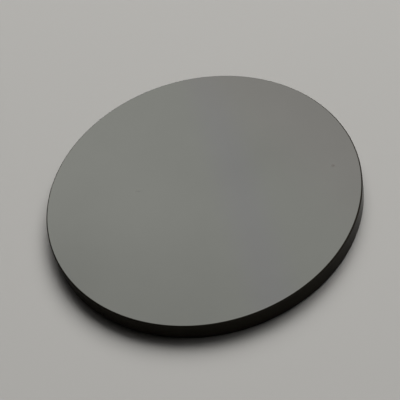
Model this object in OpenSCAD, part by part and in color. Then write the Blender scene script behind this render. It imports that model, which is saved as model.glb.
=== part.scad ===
/* [Wafer] */
// Diameter over the ground rim
diameter = 50.8; // [25:0.1:150]
// Thickness from the lapped back face to the polished front face
thickness = 3.175; // [2:0.025:12]

/* [Chamfers] */
// Width of the chamfer round the polished front face, measured along the radius
front_chamfer = 0.2; // [0.05:0.05:0.5]
// Width of the chamfer round the lapped back face, measured along the radius
back_chamfer = 0.2; // [0.05:0.05:0.5]
// Angle of both chamfers, measured from the face that they run round
chamfer_angle = 45; // [30:1:60]

/* [Hidden] */
$fn = 256;

rim_radius = diameter / 2;
front_face_radius = rim_radius - front_chamfer;
back_face_radius = rim_radius - back_chamfer;
front_chamfer_depth = front_chamfer * tan(chamfer_angle);
back_chamfer_depth = back_chamfer * tan(chamfer_angle);

// Half of the disc's section: up the axis, out over the front face and down the rim.
// The back face lies on Z = 0, centred on the origin, and the polished face looks along +Z.
function section() = [
    [0, 0],
    [back_face_radius, 0],
    [rim_radius, back_chamfer_depth],
    [rim_radius, thickness - front_chamfer_depth],
    [front_face_radius, thickness],
    [0, thickness]
];

module wafer() {
    color("dimgray")
        rotate_extrude()
            polygon(section());
}

wafer();
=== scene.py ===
"""A thick polished silicon wafer and the small studio that it is shown in, as a Blender add-on."""

import math

import bmesh
import bpy
from bpy.props import FloatProperty, FloatVectorProperty, IntProperty, PointerProperty
from mathutils import Matrix, Vector


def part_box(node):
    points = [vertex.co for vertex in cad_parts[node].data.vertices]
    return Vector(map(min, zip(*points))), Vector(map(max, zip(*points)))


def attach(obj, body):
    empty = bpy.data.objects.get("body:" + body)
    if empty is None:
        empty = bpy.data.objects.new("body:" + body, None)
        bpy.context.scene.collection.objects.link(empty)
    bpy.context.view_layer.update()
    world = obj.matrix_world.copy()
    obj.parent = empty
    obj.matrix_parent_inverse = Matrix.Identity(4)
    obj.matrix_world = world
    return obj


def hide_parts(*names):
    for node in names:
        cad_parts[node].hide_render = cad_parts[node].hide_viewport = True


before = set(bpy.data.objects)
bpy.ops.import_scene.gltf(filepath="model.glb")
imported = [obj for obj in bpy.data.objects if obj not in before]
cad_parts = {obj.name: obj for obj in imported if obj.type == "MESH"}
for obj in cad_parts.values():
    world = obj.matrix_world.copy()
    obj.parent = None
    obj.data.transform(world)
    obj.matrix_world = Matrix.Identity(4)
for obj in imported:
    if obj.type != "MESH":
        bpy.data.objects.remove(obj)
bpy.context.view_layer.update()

bl_info = {
    "name": "Silicon Wafer",
    "version": (1, 0, 0),
    "blender": (4, 5, 0),
    "location": "View3D > Sidebar > Wafer",
    "description": "Models a thick polished silicon wafer and sets it in a plain studio",
    "category": "Add Mesh",
}

MM = 0.001
BODY = "root"
NODE = "wafer"
wafer_low, wafer_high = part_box(NODE)
cad_diameter = wafer_high.x - wafer_low.x
cad_thickness = wafer_high.z - wafer_low.z


# ---------------------------------------------------------------- settings

class WaferSizes(bpy.types.PropertyGroup):
    """Sizes of the disc."""

    diameter: FloatProperty(
        name="Diameter",
        description="Diameter over the ground rim",
        default=cad_diameter,
        unit="LENGTH",
    )
    thickness: FloatProperty(
        name="Thickness",
        description="Thickness from the lapped back to the polished front",
        default=cad_thickness,
        unit="LENGTH",
    )
    chamfer: FloatProperty(
        name="Chamfer",
        description="Width of the chamfer round each face",
        default=0.2 * MM,
        unit="LENGTH",
        precision=5,
    )
    edge_radius: FloatProperty(
        name="Edge radius",
        description="Radius that polishing and handling leave on the edges of the chamfers",
        default=0.06 * MM,
        unit="LENGTH",
        precision=5,
    )
    edge_steps: IntProperty(
        name="Edge steps",
        description="Facets across each rounded edge",
        default=4,
        min=1,
    )
    segments: IntProperty(
        name="Segments",
        description="Facets round the rim",
        default=512,
        min=64,
    )


class SiliconFinish(bpy.types.PropertyGroup):
    """Colours and gloss of the finishes."""

    polished_colour: FloatVectorProperty(
        name="Polished silicon",
        description="Colour of the polished front face",
        subtype="COLOR",
        size=3,
        default=(0.2187, 0.2224, 0.2037),
    )
    cool_colour: FloatVectorProperty(
        name="Cool tint",
        description="Colour of the polished front face in the cool band across it",
        subtype="COLOR",
        size=3,
        default=(0.2156, 0.2162, 0.2092),
    )
    warm_colour: FloatVectorProperty(
        name="Warm tint",
        description="Colour of the polished front face where it turns warm",
        subtype="COLOR",
        size=3,
        default=(0.2227, 0.2183, 0.2037),
    )
    polished_roughness: FloatProperty(
        name="Polish",
        description="Roughness of the polished front face",
        subtype="FACTOR",
        default=0.1,
    )
    ground_colour: FloatVectorProperty(
        name="Ground rim",
        description="Colour of the ground rim and chamfers",
        subtype="COLOR",
        size=3,
        default=(0.0232, 0.0204, 0.0156),
    )
    lapped_colour: FloatVectorProperty(
        name="Lapped back",
        description="Colour of the lapped back face",
        subtype="COLOR",
        size=3,
        default=(0.16, 0.16, 0.155),
    )


class StudioSetup(bpy.types.PropertyGroup):
    """Floor, lamps and camera."""

    floor_colour: FloatVectorProperty(
        name="Floor",
        description="Colour of the pale floor",
        subtype="COLOR",
        size=3,
        default=(0.451, 0.442, 0.422),
    )
    backdrop_level: FloatProperty(
        name="Backdrop",
        description="Brightness of the pale backdrop, where 1 is white",
        default=0.8,
    )
    glow_level: FloatProperty(
        name="Glow",
        description="Brightness that a soft glow adds where the front face mirrors the backdrop",
        default=0.145,
    )
    ambient_level: FloatProperty(
        name="Ambient",
        description="Brightness of the dim light from all round",
        default=0.008,
    )
    lamp_level: FloatProperty(
        name="Lamps",
        description="Brightness of all the lamps, where 1 shows a colour about as it is written",
        default=1.0,
    )
    lamp_distance: FloatProperty(
        name="Lamp distance",
        description="Distance from the wafer to each lamp",
        unit="LENGTH",
        default=1.0,
    )
    camera_distance: FloatProperty(
        name="Camera distance",
        description="Distance from the camera to the middle of the front face",
        unit="LENGTH",
        default=201.6 * MM,
    )
    camera_elevation: FloatProperty(
        name="Camera elevation",
        description="Height of the camera above the floor",
        subtype="ANGLE",
        default=math.radians(49.782),
    )
    camera_roll: FloatProperty(
        name="Camera roll",
        description="Turn of the camera about its own line of sight",
        subtype="ANGLE",
        default=math.radians(-15.511),
    )
    camera_lens: FloatProperty(
        name="Lens",
        description="Focal length of the camera",
        unit="CAMERA",
        default=114.33,
    )
    camera_aim: FloatVectorProperty(
        name="Aim",
        description="Point of the front face that the camera looks at, from its middle",
        subtype="TRANSLATION",
        unit="LENGTH",
        size=2,
        default=(-0.611 * MM, -1.631 * MM),
    )


# ---------------------------------------------------------------- shader maths

# Sockets of a Mix node that mixes colours.
MIX_FACTOR, MIX_FIRST, MIX_SECOND = 0, 6, 7
MIX_RESULT = 2
# Layers of finer detail in soft patterns and in grain.
SOFT_DETAIL = 2.0
GRAIN_DETAIL = 3.0


class Signal:
    """One output socket of a shader node, on which Python's operators add Math nodes."""

    def __init__(self, sheet, socket):
        self.sheet = sheet
        self.socket = socket

    def maths(self, operation, *values, clamp=False):
        """Adds a Math node that works on the given values or signals."""
        settings = {"operation": operation, "use_clamp": clamp}
        return self.sheet.node("ShaderNodeMath", settings, dict(enumerate(values)))

    def __add__(self, other):
        return self.maths("ADD", self, other)

    def __sub__(self, other):
        return self.maths("SUBTRACT", self, other)

    def __rsub__(self, other):
        return self.maths("SUBTRACT", other, self)

    def __mul__(self, other):
        return self.maths("MULTIPLY", self, other)

    def __truediv__(self, other):
        return self.maths("DIVIDE", self, other)

    def __rtruediv__(self, other):
        return self.maths("DIVIDE", other, self)

    def __pow__(self, other):
        return self.maths("POWER", self, other)

    def __rpow__(self, other):
        return self.maths("POWER", other, self)

    __radd__ = __add__
    __rmul__ = __mul__

    def clamped(self):
        """The same signal, kept from 0 to 1."""
        return self.maths("ADD", self, 0.0, clamp=True)

    def size(self):
        """The same signal without its sign."""
        return self.maths("ABSOLUTE", self)

    def at_least(self, other):
        """The higher of this signal and another."""
        return self.maths("MAXIMUM", self, other)


class NodeSheet:
    """The node tree of one material or world, started afresh."""

    def __init__(self, owner):
        owner.use_nodes = True
        self.tree = owner.node_tree
        self.tree.nodes.clear()

    def node(self, kind, settings=None, sockets=None, output=0):
        """Adds a node, sets it up, fills or links its sockets, and returns one of its outputs."""
        made = self.tree.nodes.new(kind)
        for name, value in (settings or {}).items():
            setattr(made, name, value)
        for name, value in (sockets or {}).items():
            if isinstance(value, Signal):
                self.tree.links.new(value.socket, made.inputs[name])
            else:
                made.inputs[name].default_value = value
        return Signal(self, made.outputs[output]) if made.outputs else None

    def place(self):
        """The Object coordinates of the shaded point: three signals, in metres."""
        point = self.node("ShaderNodeTexCoord", output="Object")
        return [self.node("ShaderNodeSeparateXYZ", None, {0: point}, axis) for axis in "XYZ"]

    def noise(self, x, y, z, feature, detail=SOFT_DETAIL):
        """Soft noise from 0 to 1, with features about as large as the given size in metres."""
        where = self.node("ShaderNodeCombineXYZ", None, {0: x, 1: y, 2: z})
        values = {"Vector": where, "Scale": 1.0 / feature, "Detail": detail}
        return self.node("ShaderNodeTexNoise", None, values, "Fac")

    def ramp(self, value, start, end):
        """Goes smoothly from 0 at start to 1 at end, and stays level beyond them."""
        settings = {"interpolation_type": "SMOOTHSTEP"}
        sockets = {"Value": value, "From Min": start, "From Max": end}
        return self.node("ShaderNodeMapRange", settings, sockets, "Result")

    def on_show(self):
        """1 for rays that see a surface, mirror it or pass through to it, 0 for those that only light."""
        seen, mirrored, through = [
            self.node("ShaderNodeLightPath", output=kind)
            for kind in ("Is Camera Ray", "Is Glossy Ray", "Is Transmission Ray")
        ]
        return seen.at_least(mirrored).at_least(through)

    def blend(self, factor, first, second):
        """A colour that goes from first to second as the factor goes from 0 to 1."""
        settings = {"data_type": "RGBA"}
        sockets = {MIX_FACTOR: factor, MIX_FIRST: first, MIX_SECOND: second}
        return self.node("ShaderNodeMix", settings, sockets, MIX_RESULT)

    def shade(self, colour, brightness):
        """A colour made brighter or darker."""
        settings = {"operation": "SCALE"}
        return self.node("ShaderNodeVectorMath", settings, {0: colour, "Scale": brightness})

    def mottle(self, pattern, colour, spread):
        """A colour that a pattern from 0 to 1 darkens and brightens by up to the given share."""
        return self.blend(pattern, rgba(colour, 1.0 - spread), rgba(colour, 1.0 + spread))

    def bumps(self, pattern, strength):
        """A surface normal that a pattern from 0 to 1 roughens."""
        sockets = {"Strength": strength, "Distance": BUMP_DEPTH, "Height": pattern}
        return self.node("ShaderNodeBump", None, sockets)

    def surface(self, **sockets):
        """A Principled surface with these sockets, wired to the material's output."""
        values = {name.replace("_", " "): value for name, value in sockets.items()}
        shader = self.node("ShaderNodeBsdfPrincipled", None, values)
        self.node("ShaderNodeOutputMaterial", None, {"Surface": shader})


def rgba(colour, scale=1.0):
    """A colour setting as the four numbers that a colour socket takes."""
    return [channel * scale for channel in colour] + [1.0]


# ---------------------------------------------------------------- finishes

# Depth of the deepest bumps, before each finish's strength.
BUMP_DEPTH = 0.01 * MM
# How much of a mottled finish's pattern is its fine grain; the rest is its wide patches.
GRAIN_SHARE = 0.6

# Haze in the polish, wide and fine: the size of its patches, and how much they can brighten it.
WIDE_HAZE, WIDE_HAZE_GAIN = 14 * MM, 0.07
FINE_HAZE, FINE_HAZE_GAIN = 2.5 * MM, 0.03
# How much roughness the fine haze, and the speck or the mark, can add.
HAZE_ROUGHNESS = 0.02
BLEMISH_ROUGHNESS = 0.2
# A face's second pattern is cut from the noise at this height, so that it differs from the first.
FINE_HAZE_CUT = 5 * MM
LAPPED_CLOUD_CUT = 3 * MM

# A cool tint runs across the polished face from front to back, this far to the right of the middle.
COOL_BAND = 6 * MM
COOL_BAND_WIDTH = 6 * MM
# The tint turns warm towards the right and the back: how much the back counts, and where the
# turn starts and ends.
WARM_SLOPE = 0.45
WARM_SIDE = (8 * MM, 24 * MM)

# Painted reflection on the polished face: faint round patches that brighten or darken its colour the way
# mirrored surroundings would. Each has a middle, a radius, and how much brighter or darker it is.
PAINTED_REFLECTIONS = (
    ((-10 * MM, -1.9 * MM), 11 * MM, 0.04),
    ((-26.7 * MM, -9.8 * MM), 12 * MM, -0.07),
    ((10 * MM, 3.1 * MM), 9 * MM, -0.025),
)

# A speck of dust and a short faint mark: where they are, how large, their colour and how
# strongly it shows.
SPECK = (21.06 * MM, -2.05 * MM)
SPECK_RADIUS = 0.335 * MM
SPECK_COLOUR = (0.12, 0.085, 0.075)
SPECK_STRENGTH = 0.3
MARK_START = (-10.04 * MM, 3.59 * MM)
MARK_END = (-9.06 * MM, 3.31 * MM)
MARK_RADIUS = 0.15 * MM
MARK_COLOUR = (0.15, 0.15, 0.145)
MARK_STRENGTH = 0.23

# Grinding lines on the rim: their width, and how slowly they change along the rim for each change
# across it.
GRINDING_LINE = 0.22 * MM
GRINDING_RUN = 0.02
# The rest of the rim: the size of its patches, how much its tone varies, its roughness and what
# the lines add to it, and how strong its bumps and its shine are.
RIM_PATCH = 6 * MM
RIM_MOTTLE = 0.4
RIM_ROUGHNESS, RIM_ROUGHNESS_GAIN = 0.14, 0.04
RIM_BUMPS = 0.1
RIM_SHINE = 0.02

# The chamfers: the size of their grain, how much their tone varies, and their roughness and what
# the grain adds to it.
CHAMFER_GRAIN = 0.3 * MM
CHAMFER_MOTTLE = 0.2
CHAMFER_ROUGHNESS, CHAMFER_ROUGHNESS_GAIN = 0.4, 0.1

# The back: the sizes of its grain and clouds, how much its tone varies, its roughness and what the
# grain adds to it, and how strong its bumps and how metallic it is.
LAPPED_GRAIN = 0.35 * MM
LAPPED_CLOUD = 8 * MM
LAPPED_MOTTLE = 0.15
LAPPED_ROUGHNESS, LAPPED_ROUGHNESS_GAIN = 0.5, 0.1
LAPPED_BUMPS = 0.3
LAPPED_METALLIC = 0.4


def distance(x, y, centre):
    """How far a point is from a centre."""
    return ((x - centre[0]) ** 2.0 + (y - centre[1]) ** 2.0) ** 0.5


def spot(x, y, centre, radius):
    """1 in the middle of a round spot, falling softly to 0 at its edge."""
    squared = (x - centre[0]) ** 2.0 + (y - centre[1]) ** 2.0
    return (1.0 - squared / radius ** 2).at_least(0.0)


def stroke(x, y, start, end, radius):
    """1 along a short straight stroke from start to end, fading out towards its end."""
    length = math.dist(start, end)
    along_x, along_y = (end[0] - start[0]) / length, (end[1] - start[1]) / length
    travel = (x - start[0]) * along_x + (y - start[1]) * along_y
    across = (x - start[0]) * -along_y + (y - start[1]) * along_x
    body = (1.0 - across ** 2.0 / radius ** 2).at_least(0.0)
    lead_in = (travel / radius + 1.0).clamped()
    fade_out = (1.0 - travel ** 2.0 / length ** 2).at_least(0.0)
    return body * lead_in * fade_out


def polished_silicon(finish):
    """The front face: a smooth grey polish with faint tints, patches of painted reflection, haze, a speck
    and a mark.
    """
    material = bpy.data.materials.new("polished_silicon")
    sheet = NodeSheet(material)
    x, y, _ = sheet.place()
    haze = sheet.noise(x, y, 0.0, WIDE_HAZE)
    fine_haze = sheet.noise(x, y, FINE_HAZE_CUT, FINE_HAZE)
    cool = sheet.ramp((x - COOL_BAND).size(), COOL_BAND_WIDTH, 0.0)
    warm = sheet.ramp(x + y * WARM_SLOPE, *WARM_SIDE)
    tint = sheet.blend(cool, rgba(finish.polished_colour), rgba(finish.cool_colour))
    tint = sheet.blend(warm, tint, rgba(finish.warm_colour))
    darkest = 1.0 - (WIDE_HAZE_GAIN + FINE_HAZE_GAIN) / 2
    brightness = darkest + haze * WIDE_HAZE_GAIN + fine_haze * FINE_HAZE_GAIN
    # Painted reflection: round patches brighten or darken the face's colour.
    for centre, radius, strength in PAINTED_REFLECTIONS:
        brightness += sheet.ramp(distance(x, y, centre), radius, 0.0) * strength
    clean = sheet.shade(tint, brightness)
    dust = spot(x, y, SPECK, SPECK_RADIUS)
    mark = stroke(x, y, MARK_START, MARK_END, MARK_RADIUS)
    marked = sheet.blend(mark * MARK_STRENGTH, clean, rgba(MARK_COLOUR))
    smoothest = finish.polished_roughness - HAZE_ROUGHNESS / 2
    sheet.surface(
        Base_Color=sheet.blend(dust * SPECK_STRENGTH, marked, rgba(SPECK_COLOUR)),
        Metallic=1.0,
        Roughness=smoothest + fine_haze * HAZE_ROUGHNESS + (dust + mark) * BLEMISH_ROUGHNESS,
    )
    return material


def ground_silicon(finish):
    """The rim: very dark and nearly without gloss, with fine grinding lines round the disc."""
    material = bpy.data.materials.new("ground_silicon")
    sheet = NodeSheet(material)
    x, y, z = sheet.place()
    lines = sheet.noise(x * GRINDING_RUN, y * GRINDING_RUN, z, GRINDING_LINE, GRAIN_DETAIL)
    patches = sheet.noise(x, y, z, RIM_PATCH)
    tone = lines * GRAIN_SHARE + patches * (1.0 - GRAIN_SHARE)
    sheet.surface(
        Base_Color=sheet.mottle(tone, finish.ground_colour, RIM_MOTTLE),
        Roughness=RIM_ROUGHNESS + lines * RIM_ROUGHNESS_GAIN,
        Specular_IOR_Level=RIM_SHINE,
        Normal=sheet.bumps(lines, RIM_BUMPS),
    )
    return material


def bevelled_silicon(finish):
    """The chamfers: as dark as the rim but matt, which draws a thin dark line round each face."""
    material = bpy.data.materials.new("bevelled_silicon")
    sheet = NodeSheet(material)
    x, y, z = sheet.place()
    grain = sheet.noise(x, y, z, CHAMFER_GRAIN, GRAIN_DETAIL)
    sheet.surface(
        Base_Color=sheet.mottle(grain, finish.ground_colour, CHAMFER_MOTTLE),
        Roughness=CHAMFER_ROUGHNESS + grain * CHAMFER_ROUGHNESS_GAIN,
        Specular_IOR_Level=0.0,
    )
    return material


def lapped_silicon(finish):
    """The back face: matt grey, with the fine grain that lapping grit leaves."""
    material = bpy.data.materials.new("lapped_silicon")
    sheet = NodeSheet(material)
    x, y, _ = sheet.place()
    grain = sheet.noise(x, y, 0.0, LAPPED_GRAIN, GRAIN_DETAIL)
    clouds = sheet.noise(x, y, LAPPED_CLOUD_CUT, LAPPED_CLOUD)
    tone = grain * GRAIN_SHARE + clouds * (1.0 - GRAIN_SHARE)
    sheet.surface(
        Base_Color=sheet.mottle(tone, finish.lapped_colour, LAPPED_MOTTLE),
        Metallic=LAPPED_METALLIC,
        Roughness=LAPPED_ROUGHNESS + grain * LAPPED_ROUGHNESS_GAIN,
        Normal=sheet.bumps(grain, LAPPED_BUMPS),
    )
    return material


# ---------------------------------------------------------------- the disc

FINISHES = (polished_silicon, bevelled_silicon, ground_silicon, lapped_silicon)
POLISHED, BEVELLED, GROUND, LAPPED = range(len(FINISHES))

CHAMFER_ANGLE = math.radians(45)
# A facet is level where its normal rises more than the first, upright where less than the second.
LEVEL_RISE = 0.999
UPRIGHT_RISE = 0.001
# Weight of a facet's area in the shading, where the highest keeps the flats flat.
FLAT_WEIGHT = 100


def edges_between(bm, one, other):
    """The edges that join a face picked by one test to a face picked by another."""
    return [
        edge for edge in bm.edges
        if len(edge.link_faces) == 2
        and any(one(face) for face in edge.link_faces)
        and any(other(face) for face in edge.link_faces)
    ]


def is_flat(face):
    """True for the front and back faces of the disc."""
    return abs(face.normal.z) > LEVEL_RISE


def is_wall(face):
    """True for the facets of the rim."""
    return abs(face.normal.z) < UPRIGHT_RISE


def is_chamfer(face):
    """True for the facets of the chamfers, before their edges are rounded."""
    return not is_flat(face) and not is_wall(face)


def finish_of(face):
    """The finish of a facet: each one carries over onto the nearer half of the rounded edges."""
    lean = face.normal.z
    half_way = CHAMFER_ANGLE / 2
    if lean > math.cos(half_way):
        return POLISHED
    if lean < -math.cos(half_way):
        return LAPPED
    return BEVELLED if abs(lean) > math.sin(half_way) else GROUND


def bevel(bm, edges, width, steps):
    """Cuts a bevel of the given width along the edges."""
    bmesh.ops.bevel(
        bm, geom=edges, offset=width, offset_type="OFFSET", segments=steps,
        profile=0.5, affect="EDGES", material=-1,
    )


def disc_mesh(sizes):
    """A closed disc on Z = 0 with chamfered rims, each edge of a chamfer slightly rounded."""
    bm = bmesh.new()
    radius = sizes.diameter / 2
    bmesh.ops.create_cone(
        bm, cap_ends=True, cap_tris=False, segments=sizes.segments,
        radius1=radius, radius2=radius, depth=sizes.thickness,
        matrix=Matrix.Translation((0, 0, sizes.thickness / 2)),
    )
    bm.normal_update()
    bevel(bm, edges_between(bm, is_flat, is_wall), sizes.chamfer, 1)
    bm.normal_update()
    # A round edge meets the flats this far from where they would meet each other.
    rounding = sizes.edge_radius * math.tan(CHAMFER_ANGLE / 2)
    corners = edges_between(bm, is_chamfer, lambda face: not is_chamfer(face))
    bevel(bm, corners, rounding, sizes.edge_steps)
    bmesh.ops.recalc_face_normals(bm, faces=bm.faces)
    for face in bm.faces:
        face.smooth = True
        face.material_index = finish_of(face)
    mesh = bpy.data.meshes.new("silicon_disc")
    bm.to_mesh(mesh)
    bm.free()
    return mesh


class WAFER_OT_model_disc(bpy.types.Operator):
    """Model the silicon disc and finish its front, rim and back"""

    bl_idname = "wafer.model_disc"
    bl_label = "Silicon disc"

    def execute(self, context):
        finish = context.scene.wafer_finish
        disc = bpy.data.objects.new("silicon_disc", disc_mesh(context.scene.wafer_sizes))
        context.scene.collection.objects.link(disc)
        for make_finish in FINISHES:
            disc.data.materials.append(make_finish(finish))
        shading = disc.modifiers.new("flat_shading", "WEIGHTED_NORMAL")
        shading.weight = FLAT_WEIGHT
        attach(disc, BODY)
        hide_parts(NODE)
        return {"FINISHED"}


# ---------------------------------------------------------------- the studio

# Each lamp's direction in degrees, from straight behind the wafer round to the right, its height in
# degrees above the floor, and its diameter in metres and power in watts when it hangs 1 m away.
LAMPS = (
    ("far_left_lamp", -3, 61, 0.67, 0.77),
    ("left_lamp", 16, 46, 0.77, 5.6),
    ("right_lamp", 43, 51, 0.77, 6.1),
    ("far_right_lamp", 79, 55, 0.78, 1.3),
)

# How far the floor reaches to each side, and how far below the wafer it lies, so as not to touch.
FLOOR_REACH = 2.0
FLOOR_GAP = 0.02 * MM
FLOOR_ROUGHNESS = 0.9
# Distances from the wafer at which the floor starts and ends its fade into the backdrop.
FLOOR_FADE = (120 * MM, 600 * MM)

# The glow on the backdrop is a slanted band. Its middle is straight behind the wafer, at this
# sine of elevation. Steps across and along it grow with the direction's x and with its height, at
# these rates, and one step is about half as wide as the patch that the front face mirrors.
GLOW_HEIGHT = 0.761
GLOW_ACROSS = (5.96, -10.6)
GLOW_ALONG = (-2.27, -11.35)
# In steps: where the band ends across itself, and where its two ends start and end their fade.
GLOW_EDGE = 1.7
GLOW_FADE = (4.0, 1.5)
# How strongly the glow rises from one end to the other, next to the band itself.
GLOW_RISE = 1.3


def pointing(azimuth, elevation):
    """The direction at an azimuth, from +Y round towards +X, and an elevation above the floor."""
    level = math.cos(elevation)
    return Vector((math.sin(azimuth) * level, math.cos(azimuth) * level, math.sin(elevation)))


def lay_floor(setup):
    """A plain pale floor just under the wafer, which fades into the backdrop far from it."""
    bm = bmesh.new()
    below = Matrix.Translation((0, 0, -FLOOR_GAP))
    bmesh.ops.create_grid(bm, x_segments=1, y_segments=1, size=FLOOR_REACH, matrix=below)
    mesh = bpy.data.meshes.new("floor")
    bm.to_mesh(mesh)
    bm.free()
    material = bpy.data.materials.new("pale_floor")
    sheet = NodeSheet(material)
    x, y, _ = sheet.place()
    fade = sheet.ramp(distance(x, y, (0, 0)), *FLOOR_FADE) * sheet.on_show()
    black = rgba((0, 0, 0))
    sheet.surface(
        Base_Color=sheet.blend(fade, rgba(setup.floor_colour), black),
        Emission_Color=sheet.blend(fade, black, rgba((1, 1, 1), setup.backdrop_level)),
        Emission_Strength=1.0,
        Roughness=FLOOR_ROUGHNESS,
        Specular_IOR_Level=0.0,
    )
    mesh.materials.append(material)
    floor = bpy.data.objects.new("floor", mesh)
    bpy.context.scene.collection.objects.link(floor)


def light_surroundings(scene, setup):
    """A pale backdrop for the camera and reflections, and a dim even light on everything else."""
    world = bpy.data.worlds.new("studio")
    scene.world = world
    sheet = NodeSheet(world)
    direction = sheet.node("ShaderNodeTexCoord", output="Generated")
    x, z = [sheet.node("ShaderNodeSeparateXYZ", None, {0: direction}, axis) for axis in "XZ"]
    height = z - GLOW_HEIGHT
    across, along = [
        x * sideways + height * upwards
        for sideways, upwards in (GLOW_ACROSS, GLOW_ALONG)
    ]
    band = sheet.ramp(across.size(), GLOW_EDGE, 0.0)
    rise = sheet.ramp(along, -GLOW_EDGE, GLOW_EDGE) - 0.5
    reach = sheet.ramp(along.size(), *GLOW_FADE)
    glow = (band + rise * GLOW_RISE) * reach * setup.glow_level
    shows = sheet.on_show()
    level = shows * (glow + setup.backdrop_level) + (1.0 - shows) * setup.ambient_level
    values = {"Color": rgba((1, 1, 1)), "Strength": level}
    background = sheet.node("ShaderNodeBackground", None, values)
    sheet.node("ShaderNodeOutputWorld", None, {"Surface": background})


def hang_lamps(scene, setup):
    """Large soft round lamps behind and to the right, which the face doesn't mirror."""
    for name, azimuth, elevation, diameter, power in LAMPS:
        light = bpy.data.lights.new(name, "AREA")
        light.shape = "DISK"
        light.size = diameter * setup.lamp_distance
        light.energy = power * setup.lamp_level * setup.lamp_distance ** 2
        lamp = bpy.data.objects.new(name, light)
        towards = pointing(math.radians(azimuth), math.radians(elevation))
        lamp.location = towards * setup.lamp_distance
        lamp.rotation_euler = towards.to_track_quat("Z", "Y").to_euler()
        lamp.visible_glossy = False
        scene.collection.objects.link(lamp)


def place_camera(scene, setup, face_height):
    """A long lens that looks down on the front face, rolled a little."""
    camera = bpy.data.objects.new("camera", bpy.data.cameras.new("camera"))
    camera.data.lens = setup.camera_lens
    middle = Vector((0, 0, face_height))
    aim = middle + Vector((*setup.camera_aim, 0))
    camera.location = middle + pointing(math.pi, setup.camera_elevation) * setup.camera_distance
    facing = (aim - camera.location).to_track_quat("-Z", "Y").to_matrix()
    roll = Matrix.Rotation(setup.camera_roll, 3, "Z")
    camera.rotation_euler = (facing @ roll).to_euler()
    scene.collection.objects.link(camera)
    scene.camera = camera


class WAFER_OT_set_studio(bpy.types.Operator):
    """Lay the floor, light the studio and place the camera"""

    bl_idname = "wafer.set_studio"
    bl_label = "Studio"

    def execute(self, context):
        scene = context.scene
        setup = scene.wafer_studio
        lay_floor(setup)
        light_surroundings(scene, setup)
        hang_lamps(scene, setup)
        place_camera(scene, setup, scene.wafer_sizes.thickness)
        scene.view_settings.view_transform = "Standard"
        return {"FINISHED"}


# ---------------------------------------------------------------- the add-on

class WAFER_PT_workshop(bpy.types.Panel):
    """Sidebar panel with the settings and the two operators"""

    bl_idname = "WAFER_PT_workshop"
    bl_label = "Silicon Wafer"
    bl_space_type = "VIEW_3D"
    bl_region_type = "UI"
    bl_category = "Wafer"

    def draw(self, context):
        scene = context.scene
        for settings, operator in (
            (scene.wafer_sizes, None),
            (scene.wafer_finish, WAFER_OT_model_disc),
            (scene.wafer_studio, WAFER_OT_set_studio),
        ):
            box = self.layout.box()
            for name in settings.bl_rna.properties.keys():
                if name not in ("rna_type", "name"):
                    box.prop(settings, name)
            if operator:
                box.operator(operator.bl_idname)


CLASSES = (
    WaferSizes, SiliconFinish, StudioSetup,
    WAFER_OT_model_disc, WAFER_OT_set_studio, WAFER_PT_workshop,
)
SETTINGS = {"wafer_sizes": WaferSizes, "wafer_finish": SiliconFinish, "wafer_studio": StudioSetup}


def register():
    for made in CLASSES:
        bpy.utils.register_class(made)
    for name, group in SETTINGS.items():
        setattr(bpy.types.Scene, name, PointerProperty(type=group))


def unregister():
    for name in SETTINGS:
        delattr(bpy.types.Scene, name)
    for made in reversed(CLASSES):
        bpy.utils.unregister_class(made)


def main():
    """Builds the disc and the studio."""
    register()
    bpy.ops.wafer.model_disc()
    bpy.ops.wafer.set_studio()


if __name__ == "__main__":
    main()
